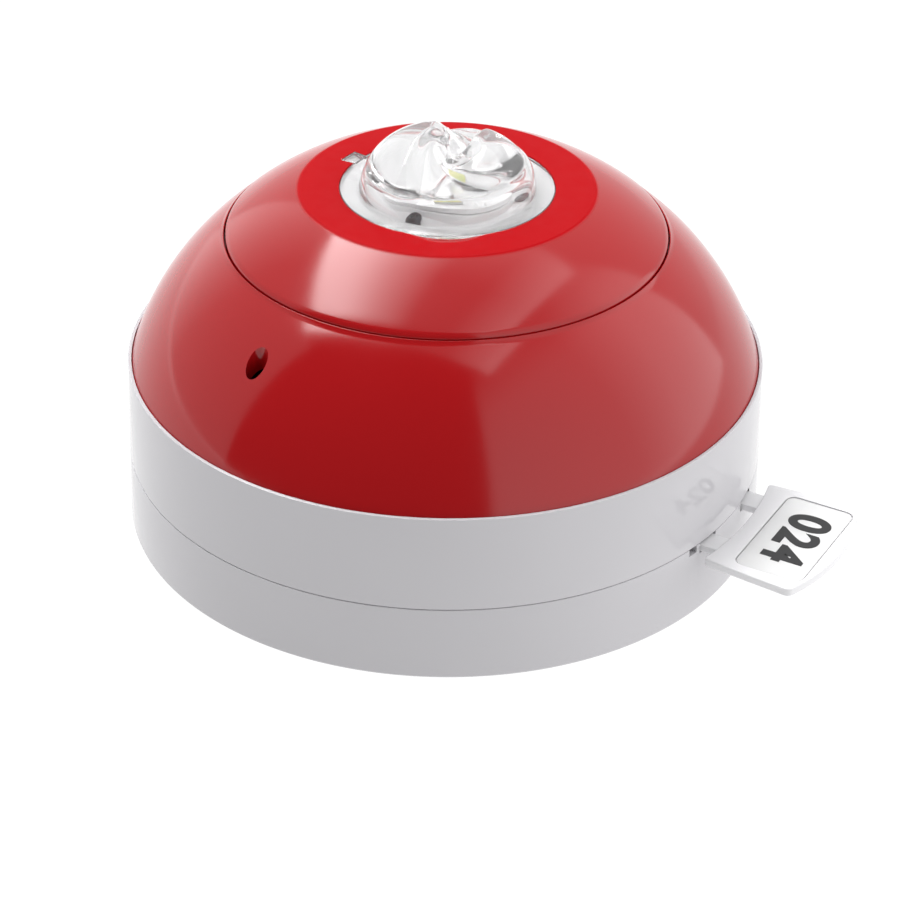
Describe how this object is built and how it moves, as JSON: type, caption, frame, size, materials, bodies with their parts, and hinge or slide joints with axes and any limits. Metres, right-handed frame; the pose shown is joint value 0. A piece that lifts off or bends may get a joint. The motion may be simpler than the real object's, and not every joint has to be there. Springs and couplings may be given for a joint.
{
  "type": "horn strobe",
  "caption": "Round ceiling sounder and visual alarm: a white drum base, a red two-part dome, a swirled clear strobe lens and a slide-in address card.",
  "frame": {"origin": "centre of the flat face of the base that lies on the ceiling", "axes": "+Z away from the ceiling along the axis of the drum, +X along the address card"},
  "size_m": [0.1581, 0.134, 0.088],
  "materials": {
    "white_shell": "glossy moulded white",
    "red_shell": "glossy moulded signal red",
    "clear_lens": "clear polished polycarbonate",
    "reflector_white": "satin white",
    "phosphor": "yellow phosphor",
    "zinc_steel": "zinc-plated steel",
    "black_steel": "blackened steel",
    "contact_brass": "bright brass",
    "piezo_ceramic": "fired ceramic with a thin electrode",
    "seal_rubber": "soft black rubber",
    "black_plastic": "satin black",
    "circuit_board": "green solder mask",
    "label": "satin white label",
    "black_sleeve": "soft black sleeve",
    "red_sleeve": "soft red sleeve"
  },
  "bodies": {
    "base": {"mounting_base": "white_shell", "terminal_contact_1": "zinc_steel", "terminal_clamp_1": "contact_brass", "terminal_screw_1": "zinc_steel", "terminal_contact_2": "zinc_steel", "terminal_clamp_2": "contact_brass", "terminal_screw_2": "zinc_steel", "terminal_contact_3": "zinc_steel", "terminal_clamp_3": "contact_brass", "terminal_screw_3": "zinc_steel", "terminal_contact_4": "zinc_steel", "terminal_clamp_4": "contact_brass", "terminal_screw_4": "zinc_steel"},
    "card": {"address_card": "white_shell", "address_label": "label"},
    "lock": {"lock_screw": "black_steel"},
    "head": {"upper_housing": "white_shell", "lower_dome": "red_shell", "top_cap": "red_shell", "strobe_lens": "clear_lens", "reflector": "reflector_white", "led_board": "reflector_white", "led_1": "phosphor", "led_2": "phosphor", "sound_chamber": "black_plastic", "piezo_plate": "contact_brass", "piezo_ceramic": "piezo_ceramic", "piezo_ring": "seal_rubber", "sound_mesh": "black_plastic", "main_board": "circuit_board", "storage_capacitor_1": "black_plastic", "storage_capacitor_2": "black_plastic", "piezo_choke": "black_plastic", "controller_chip": "black_plastic", "loop_isolator_chip": "black_plastic", "board_connector": "reflector_white", "strobe_lead_1": "black_sleeve", "piezo_lead_1": "black_sleeve", "strobe_lead_2": "red_sleeve", "piezo_lead_2": "red_sleeve", "rear_cover": "white_shell", "rear_cover_screw_1": "zinc_steel", "rear_cover_screw_2": "zinc_steel", "rear_cover_screw_3": "zinc_steel", "strobe_screw_1": "black_steel", "strobe_screw_2": "black_steel", "strobe_screw_3": "black_steel", "head_contact_1": "contact_brass", "head_contact_2": "contact_brass", "head_contact_3": "contact_brass", "head_contact_4": "contact_brass"}
  },
  "joints": [
    {"name": "head_twist", "type": "hinge", "parent": "base", "child": "head", "pos_m": [0, 0, 0.016], "axis": [0, 0, 1], "range_deg": [0, 20]},
    {"name": "card_slide", "type": "slide", "parent": "base", "child": "card", "axis": [1, 0, 0], "range_m": [0, 0.014]},
    {"name": "lock_screw_turn", "type": "hinge", "parent": "base", "child": "lock", "pos_m": [-0.03075, 0.05326, 0.008], "axis": [-0.5, 0.866, 0], "range_deg": [0, 360]}
  ]
}
